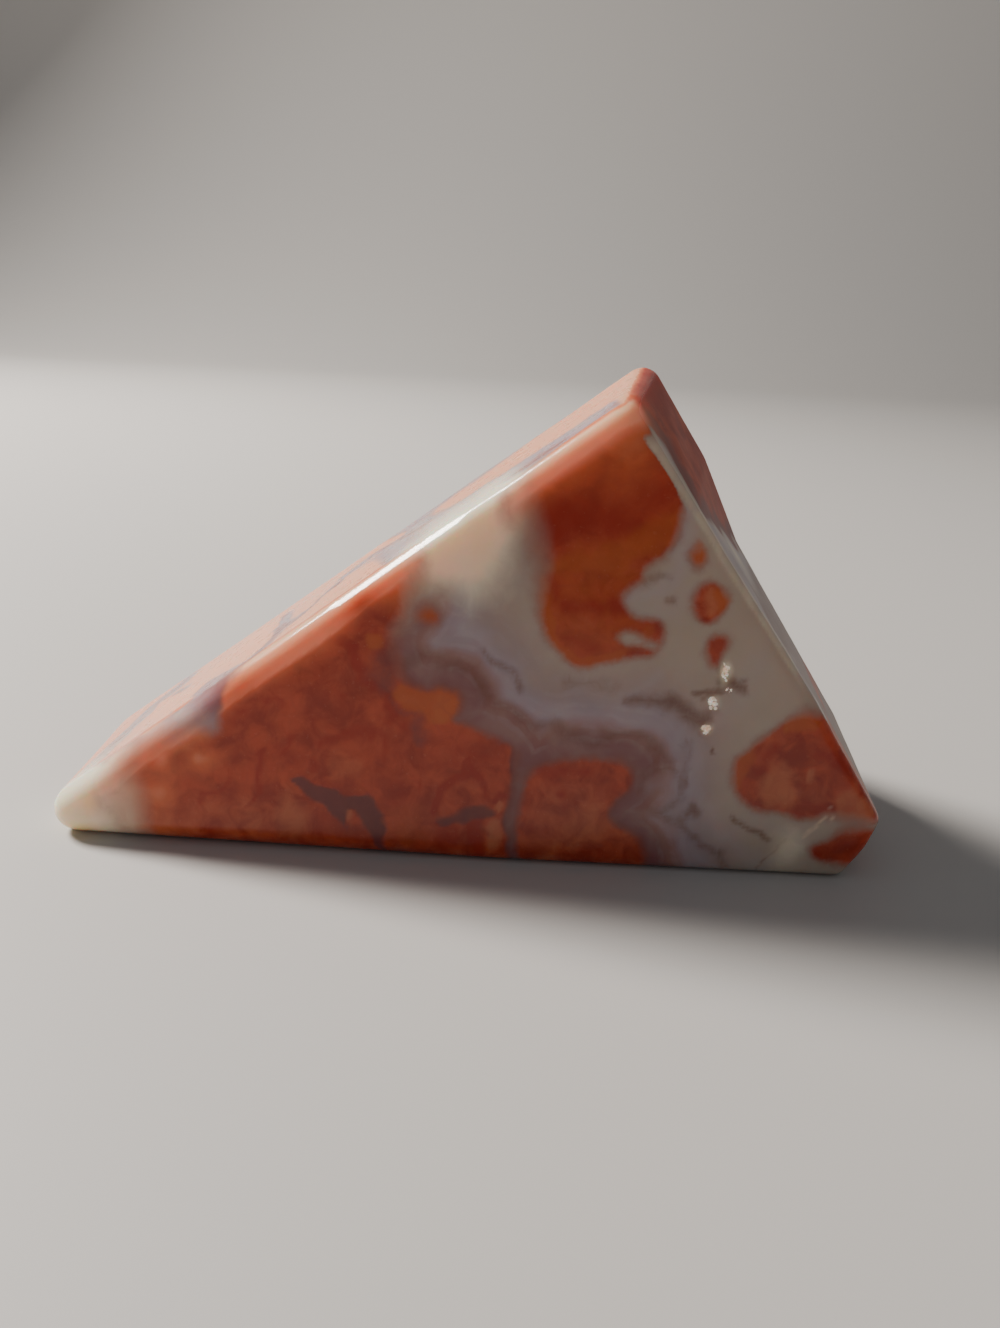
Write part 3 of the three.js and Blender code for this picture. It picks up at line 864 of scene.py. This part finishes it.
class Recipe:
    """A material being put together from nodes."""

    def __init__(self, name):
        self.material = bpy.data.materials.new(name)
        self.material.use_nodes = True
        self.tree = self.material.node_tree
        self.tree.nodes.clear()
        self.surface = self.node("ShaderNodeBsdfPrincipled")
        output = self.node("ShaderNodeOutputMaterial")
        self.join(self.surface.outputs["BSDF"], output.inputs["Surface"])

    def node(self, kind, **settings):
        made = self.tree.nodes.new(kind)
        for key, value in settings.items():
            setattr(made, key, value)
        return made

    def join(self, source, target):
        self.tree.links.new(source, target)

    def put(self, socket, value):
        if isinstance(value, bpy.types.NodeSocket):
            self.join(value, socket)
        else:
            socket.default_value = value

    def finish(self, values):
        """Sets the finish: a plain value stays on its own socket, a pattern is joined to it."""
        for name, value in values.items():
            self.put(self.surface.inputs[name], value)
        return self.material

    def field(self, name):
        return self.node("ShaderNodeAttribute", attribute_name=name).outputs["Fac"]

    def sum(self, a, b):
        return self.maths("ADD", a, b)

    def times(self, a, b):
        return self.maths("MULTIPLY", a, b)

    def maths(self, operation, a, b):
        made = self.node("ShaderNodeMath", operation=operation)
        self.put(made.inputs[0], a)
        self.put(made.inputs[1], b)
        return made.outputs[0]

    def step(self, value, low, high):
        """0 below low, 1 above high and smooth between."""
        made = self.node("ShaderNodeMapRange", interpolation_type="SMOOTHSTEP", clamp=True)
        self.put(made.inputs["Value"], value)
        made.inputs["From Min"].default_value = low
        made.inputs["From Max"].default_value = high
        return made.outputs["Result"]

    def between(self, value, rise_start, rise_end, fall_start, fall_end):
        """1 between a rise and a fall, 0 outside them and smooth on the way."""
        rise = self.step(value, rise_start, rise_end)
        fall = self.step(self.times(value, -1.0), -fall_end, -fall_start)
        return self.times(rise, fall)

    def blend(self, factor, a, b):
        """The first colour where the factor is 0 and the second where it is 1."""
        made = self.node("ShaderNodeMix", data_type="RGBA", clamp_factor=True)
        self.put(made.inputs["Factor"], factor)
        first, second = [socket for socket in made.inputs if socket.type == "RGBA"]
        self.put(first, a)
        self.put(second, b)
        return next(socket for socket in made.outputs if socket.type == "RGBA")

    def tint(self, base, amount, strength, colour):
        """A base with a colour laid over it where the amount says, no stronger than given."""
        return self.blend(self.times(amount, strength), base, colour)

    def ramp(self, value, stops):
        """Colours that run into each other as the value goes from 0 to 1."""
        made = self.node("ShaderNodeValToRGB")
        ramp = made.color_ramp
        ramp.interpolation = "B_SPLINE"
        while len(ramp.elements) < len(stops):
            ramp.elements.new(0.5)
        for element, (position, _) in zip(ramp.elements, stops):
            element.position = position
        for element, (_, colour) in zip(ramp.elements, stops):
            element.color = colour
        self.put(made.inputs["Fac"], value)
        return made.outputs["Color"]

    def position(self):
        """Place on the object in millimetres."""
        place = self.node("ShaderNodeTexCoord").outputs["Object"]
        scale = self.node("ShaderNodeVectorMath", operation="SCALE")
        self.join(place, scale.inputs[0])
        scale.inputs["Scale"].default_value = 1 / MM
        return scale.outputs[0]

    def grain(self, place, size, detail=3.0, roughness=0.5, distortion=0.0):
        """Noise centred on zero, with lumps of the given size in millimetres."""
        made = self.node("ShaderNodeTexNoise")
        made.inputs["Scale"].default_value = 1.0 / size
        made.inputs["Detail"].default_value = detail
        made.inputs["Roughness"].default_value = roughness
        made.inputs["Distortion"].default_value = distortion
        self.join(place, made.inputs["Vector"])
        return self.maths("SUBTRACT", made.outputs["Fac"], 0.5)

    def cell_walls(self, place, size):
        """Distance to the walls between rounded cells of the given size."""
        made = self.node("ShaderNodeTexVoronoi", feature="DISTANCE_TO_EDGE")
        made.inputs["Scale"].default_value = 1.0 / size
        self.join(place, made.inputs["Vector"])
        return made.outputs["Distance"]


def paint(*screen):
    """A colour as it reads on a screen, out of 255, for a node socket."""
    parts = [part / 255 for part in screen]
    linear = [part / 12.92 if part <= 0.04045 else ((part + 0.055) / 1.055) ** 2.4 for part in parts]
    return (*linear, 1.0)


BRICK_SALMON = paint(161, 54, 32)
LIGHT_SALMON = paint(197, 83, 50)
PEACH = paint(206, 122, 84)
GOLDEN_ORANGE = paint(196, 98, 46)
DEEP_RED = paint(168, 42, 22)
BROWN_RIDGE = paint(150, 56, 42)
PINK_FLECK = paint(226, 150, 112)
PURPLE_GREY = paint(120, 62, 63)
# Salmon and peach as they look in strong light, painted on as light along the long edge, near the tips
# and on the long slope
LIT_SALMON = paint(236, 134, 86)
LIT_PEACH = paint(255, 206, 172)
LAVENDER_LINE = paint(192, 178, 186)
LAVENDER_BAND = paint(188, 174, 183)
PINK_CLOUD = paint(202, 180, 170)
BROWN_STAIN_AND_SHADE = paint(118, 72, 56)
MILK_WHITE_AND_GLOW = paint(250, 238, 212)
HONEY_YELLOW = paint(240, 216, 144)
STAINED_RIM = paint(146, 92, 84)
CRACK_CREAM = paint(238, 214, 190)

# Colours of the chalcedony from a salmon mass outwards, and how far they run in millimetres
BAND_REACH = 16.0
BAND_COLOURS = [
    (0.00, paint(138, 78, 74)),
    (0.05, paint(142, 86, 88)),
    (0.12, paint(146, 98, 99)),
    (0.18, paint(150, 98, 92)),
    (0.24, paint(164, 118, 114)),
    (0.31, paint(166, 146, 154)),
    (0.42, paint(168, 149, 154)),
    (0.50, paint(168, 146, 142)),
    (0.60, paint(178, 156, 148)),
    (0.75, paint(184, 165, 152)),
    (1.00, paint(186, 168, 152)),
]


def salmon_colour(recipe, place, broad, mottle):
    """Brick salmon, with deeper red, golden orange and peach in it, fine ridges and flecks."""
    salmon = recipe.blend(recipe.step(broad, -0.22, 0.20), BRICK_SALMON, LIGHT_SALMON)
    peach = recipe.sum(recipe.field("peach"), recipe.times(broad, 0.9))
    salmon = recipe.tint(salmon, recipe.step(peach, 0.05, 0.95), 0.75, PEACH)
    gold = recipe.sum(recipe.field("gold"), recipe.times(mottle, 0.5))
    salmon = recipe.tint(salmon, recipe.step(gold, 0.10, 0.95), 0.75, GOLDEN_ORANGE)
    red = recipe.sum(recipe.field("red"), recipe.times(mottle, 0.55))
    salmon = recipe.tint(salmon, recipe.step(red, 0.08, 0.95), 0.85, DEEP_RED)

    shift = recipe.node("ShaderNodeTexNoise")
    shift.inputs["Scale"].default_value = 0.5
    recipe.join(place, shift.inputs["Vector"])
    warped = recipe.node("ShaderNodeVectorMath", operation="ADD")
    recipe.join(place, warped.inputs[0])
    recipe.join(shift.outputs["Color"], warped.inputs[1])
    walls = recipe.times(recipe.cell_walls(warped.outputs[0], 2.1), -1.0)
    ridges = recipe.times(recipe.step(walls, -0.14, 0.0), recipe.step(broad, -0.05, 0.22))
    salmon = recipe.tint(salmon, ridges, 0.14, BROWN_RIDGE)
    flecks = recipe.step(recipe.grain(place, 0.5, 2.0, 0.5), 0.14, 0.26)
    return recipe.tint(salmon, flecks, 0.12, PINK_FLECK)


def chalcedony_colour(recipe, place, fine, broad, mottle):
    """Bands that follow the salmon masses outwards, then plain grey, with milky and brown parts; painted
    shade and painted glow are laid on with the brown and the milky white.
    """
    wobble = recipe.sum(recipe.times(recipe.grain(place, 4.0, 1.0, 0.4), 1.6), recipe.times(fine, 0.18))
    distance = recipe.sum(recipe.field("band_distance"), wobble)
    bands = recipe.ramp(recipe.times(distance, 1 / BAND_REACH), BAND_COLOURS)

    waves = recipe.node("ShaderNodeTexWave", wave_type="BANDS", bands_direction="X", wave_profile="SIN")
    waves.inputs["Scale"].default_value = 0.22
    waves.inputs["Distortion"].default_value = 0.0
    stacked = recipe.node("ShaderNodeCombineXYZ")
    recipe.put(stacked.inputs[0], distance)
    recipe.join(stacked.outputs[0], waves.inputs["Vector"])
    shown = recipe.times(recipe.between(distance, 1.0, 3.0, 6.0, 11.0), recipe.step(broad, -0.15, 0.20))
    lines = recipe.times(recipe.step(waves.outputs["Fac"], 0.35, 0.95), recipe.times(shown, 0.22))
    bands = recipe.blend(lines, bands, LAVENDER_LINE)

    clouding = recipe.step(recipe.grain(place, 5.0, 3.0, 0.5, 0.4), -0.18, 0.22)
    bands = recipe.tint(bands, clouding, 0.20, PINK_CLOUD)
    bands = recipe.tint(bands, recipe.field("pale_band"), 0.42, LAVENDER_BAND)
    # Brown bands and stains, and painted shade on the right flank
    brown_and_shade = recipe.step(recipe.sum(recipe.field("brown_band_and_shade"), recipe.times(mottle, 0.5)), 0.05, 1.0)
    bands = recipe.tint(bands, brown_and_shade, 0.75, BROWN_STAIN_AND_SHADE)
    # Milky white clouds, with painted glow, glint and reflection laid on in the same white
    milky_and_glow = recipe.step(recipe.sum(recipe.field("milky_and_glow"), recipe.times(broad, 0.35)), 0.12, 0.85)
    bands = recipe.tint(bands, milky_and_glow, 0.96, MILK_WHITE_AND_GLOW)
    yellow = recipe.step(recipe.sum(recipe.field("yellow"), recipe.times(mottle, 0.3)), 0.1, 0.9)
    return recipe.tint(bands, yellow, 0.75, HONEY_YELLOW)


def agate_material():
    recipe = Recipe("banded_agate")
    place = recipe.position()
    fine = recipe.grain(place, 0.8, 4.0, 0.6)
    broad = recipe.grain(place, 2.8, 5.0, 0.55, 0.5)
    mottle = recipe.grain(place, 1.7, 3.0, 0.6, 1.2)
    salmon = salmon_colour(recipe, place, broad, mottle)
    chalcedony = chalcedony_colour(recipe, place, fine, broad, mottle)

    # Purple-grey bodies and seams inside the salmon, and painted light laid over it in lit salmon and
    # peach
    edge = recipe.times(recipe.grain(place, 0.6, 3.0, 0.55), 0.5)
    grey = recipe.step(recipe.sum(recipe.field("grey"), recipe.times(edge, 0.5)), 0.10, 0.90)
    salmon = recipe.tint(salmon, grey, 0.85, PURPLE_GREY)
    painted_light = recipe.field("painted_light")
    salmon = recipe.blend(painted_light, salmon, LIT_SALMON)
    salmon = recipe.tint(salmon, recipe.step(painted_light, 0.40, 1.0), 0.75, LIT_PEACH)

    # Where the two meet, with a thin stained rim
    meeting = recipe.sum(recipe.field("salmon_depth"), recipe.times(edge, recipe.field("crisp")))
    colour = recipe.blend(recipe.step(meeting, -0.65, 0.65), chalcedony, salmon)
    rim = recipe.between(meeting, -1.1, -0.1, -0.3, 0.5)
    rim = recipe.times(rim, recipe.sum(recipe.times(recipe.step(broad, -0.15, 0.2), 0.3), 0.1))
    colour = recipe.blend(rim, colour, STAINED_RIM)
    colour = recipe.tint(colour, recipe.field("cracks"), 0.7, CRACK_CREAM)

    polish = recipe.times(recipe.grain(place, 2.0, 5.0, 0.6), 0.10)
    satin = recipe.sum(recipe.field("satin"), 0.16)
    bump = recipe.node("ShaderNodeBump")
    bump.inputs["Strength"].default_value = 0.06
    bump.inputs["Distance"].default_value = 0.0002
    recipe.put(bump.inputs["Height"], recipe.grain(place, 0.5, 4.0, 0.6))
    return recipe.finish({
        "Base Color": colour,
        "Roughness": recipe.sum(polish, satin),
        "Normal": bump.outputs["Normal"],
        "Subsurface Weight": 1.0,
        "Subsurface Radius": (1.0, 0.45, 0.30),
        "Subsurface Scale": 0.006,
        "IOR": 1.54,
        "Specular IOR Level": 0.35,
    })


def crystal_material():
    """Clear quartz with a little stain, with a faint painted glow that stands in for light coming
    through the stone.
    """
    recipe = Recipe("clear_quartz")
    place = recipe.position()
    stain = recipe.step(recipe.grain(place, 1.1, 2.0), -0.1, 0.2)
    return recipe.finish({
        "Base Color": recipe.blend(stain, paint(254, 250, 244), paint(224, 190, 148)),
        "Roughness": 0.06,
        "IOR": 1.54,
        "Subsurface Weight": 0.5,
        "Subsurface Scale": 0.0008,
        # Painted glow: the crystals give off a little light of their own
        "Emission Color": paint(255, 246, 236),
        "Emission Strength": 0.18,
    })


def floor_material():
    return Recipe("pale_floor").finish({"Base Color": paint(200, 197, 193), "Roughness": 0.6})


# Crystals in the pits

def add_crystal(work, foot, lean, width, length, turn):
    """A six-sided prism with a pointed end."""
    side = np.cross(lean, (0.3, 0.2, 0.9))
    side /= np.linalg.norm(side)
    other = np.cross(lean, side)
    rings = []
    for height in (0.0, CRYSTAL_SHOULDER):
        ring = []
        for i in range(CRYSTAL_SIDES):
            a = turn + i * 2 * math.pi / CRYSTAL_SIDES
            outwards = (side * math.cos(a) + other * math.sin(a)) * width
            ring.append(work.verts.new((foot + lean * length * height + outwards) * MM))
        rings.append(ring)
    peak = work.verts.new((foot + lean * length) * MM)
    base, shoulder = rings
    for i in range(CRYSTAL_SIDES):
        j = (i + 1) % CRYSTAL_SIDES
        work.faces.new((base[i], base[j], shoulder[j], shoulder[i]))
        work.faces.new((shoulder[i], shoulder[j], peak))
    work.faces.new(base[::-1])


def crystal_points():
    """Small pointed quartz crystals that line the pits, all below the polished face."""
    rng = np.random.RandomState(CRYSTAL_SEED)
    normal, at = FRONT_RIGHT
    across = np.cross((0, 0, 1), normal)
    across /= np.linalg.norm(across)
    up = np.cross(normal, across)
    work = bmesh.new()
    for x, z, half_x, half_z, depth in CRYSTAL_PITS:
        y = at[1] - (normal[0] * (x - at[0]) + normal[2] * (z - at[2])) / normal[1]
        mouth = np.array((x, y, z))
        count = int(14 + 26 * half_x * half_z)
        for _ in range(count):
            angle, reach = rng.uniform(0, 2 * math.pi), math.sqrt(rng.uniform(0, 1)) * 0.9
            foot = mouth + across * half_x * reach * math.cos(angle)
            foot = foot + up * half_z * reach * math.sin(angle)
            foot = foot - normal * depth * (1.05 - 0.65 * reach ** 2)
            lean = normal + rng.uniform(-CRYSTAL_LEAN, CRYSTAL_LEAN) * across
            lean = lean + rng.uniform(-CRYSTAL_LEAN, CRYSTAL_LEAN) * up
            lean /= np.linalg.norm(lean)
            width = rng.uniform(*CRYSTAL_WIDTH)
            room = depth * (1.0 - 0.55 * reach ** 2) / max(lean @ normal, 0.4)
            length = min(rng.uniform(*CRYSTAL_LENGTH), room) + CRYSTAL_ROOT
            add_crystal(work, foot - lean * CRYSTAL_ROOT, lean, width, length, rng.uniform(0, 1.0))
    mesh = bpy.data.meshes.new("pit_crystals")
    work.to_mesh(mesh)
    work.free()
    mesh.validate()
    return placed("pit_crystals", mesh)


# The stone and its crystals

stone = polished_skin(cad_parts["stone"])
lay_pattern(stone)
stone.data.materials.append(agate_material())
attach(stone, "root")
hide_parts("stone")

crystals = crystal_points()
crystals.data.materials.append(crystal_material())
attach(crystals, "root")


# Floor, light and camera, in metres

FLOOR_REACH = 3.0
SWEEP_START = 0.75
SWEEP_RADIUS = 0.35
SWEEP_STEPS = 12
SWEEP_HEIGHT = 3.0

LIGHT_PLACE = (-0.63, 0.315, 0.59)
LIGHT_AIM = (-0.01, 0.0, 0.03)
LIGHT_SIZE = 0.25
LIGHT_POWER = 18.0
LIGHT_COLOUR = (1.0, 0.94, 0.88)
SURROUNDING_LIGHT = 0.185
SURROUNDING_COLOUR = (0.93, 0.95, 1.0, 1.0)

# The camera: place and sensor in millimetres, tilt and roll in degrees, the picture in pixels
CAMERA_PLACE = (3.3, -122.8, 62.4)
CAMERA_TILT = 20.0
CAMERA_ROLL = 2.8
FOCAL_PIXELS = 1000.0
FRAME_HEIGHT = 1328.0
SENSOR_LONG_SIDE = 36.0


def pale_sweep():
    """Pale floor that curves up behind the stone."""
    profile = [(-FLOOR_REACH, 0.0), (SWEEP_START, 0.0)]
    for step in range(1, SWEEP_STEPS + 1):
        turn = math.radians(90 * step / SWEEP_STEPS)
        back = SWEEP_START + SWEEP_RADIUS * math.sin(turn)
        profile.append((back, SWEEP_RADIUS * (1 - math.cos(turn))))
    profile.append((SWEEP_START + SWEEP_RADIUS, SWEEP_HEIGHT))
    verts = [(x, y, z) for x in (-FLOOR_REACH, FLOOR_REACH) for y, z in profile]
    count = len(profile)
    faces = [(i, i + count, i + count + 1, i + 1) for i in range(count - 1)]
    mesh = bpy.data.meshes.new("floor")
    mesh.from_pydata(verts, [], faces)
    mesh.polygons.foreach_set("use_smooth", [True] * len(mesh.polygons))
    mesh.materials.append(floor_material())
    floor = placed("floor", mesh)


def soft_light():
    """One soft light from the left, above and behind the stone."""
    lamp = bpy.data.lights.new("soft_light", "AREA")
    lamp.shape = "SQUARE"
    lamp.size = LIGHT_SIZE
    lamp.energy = LIGHT_POWER
    lamp.color = LIGHT_COLOUR
    light = placed("soft_light", lamp)
    light.location = LIGHT_PLACE
    light.rotation_euler = (Vector(LIGHT_AIM) - Vector(LIGHT_PLACE)).to_track_quat("-Z", "Y").to_euler()


def surroundings():
    """Even light from all sides."""
    world = bpy.data.worlds.new("surroundings")
    world.use_nodes = True
    background = world.node_tree.nodes["Background"]
    background.inputs["Color"].default_value = SURROUNDING_COLOUR
    background.inputs["Strength"].default_value = SURROUNDING_LIGHT
    bpy.context.scene.world = world


def photo_camera():
    lens = bpy.data.cameras.new("camera")
    lens.sensor_width = SENSOR_LONG_SIDE
    lens.lens = SENSOR_LONG_SIDE * FOCAL_PIXELS / FRAME_HEIGHT
    lens.clip_start = 0.005
    camera = placed("camera", lens)
    aim = Matrix.Rotation(math.radians(90 - CAMERA_TILT), 4, "X")
    aim = aim @ Matrix.Rotation(math.radians(CAMERA_ROLL), 4, "Z")
    camera.matrix_world = Matrix.Translation(Vector(CAMERA_PLACE) * MM) @ aim
    bpy.context.scene.camera = camera


pale_sweep()
surroundings()
soft_light()
photo_camera()
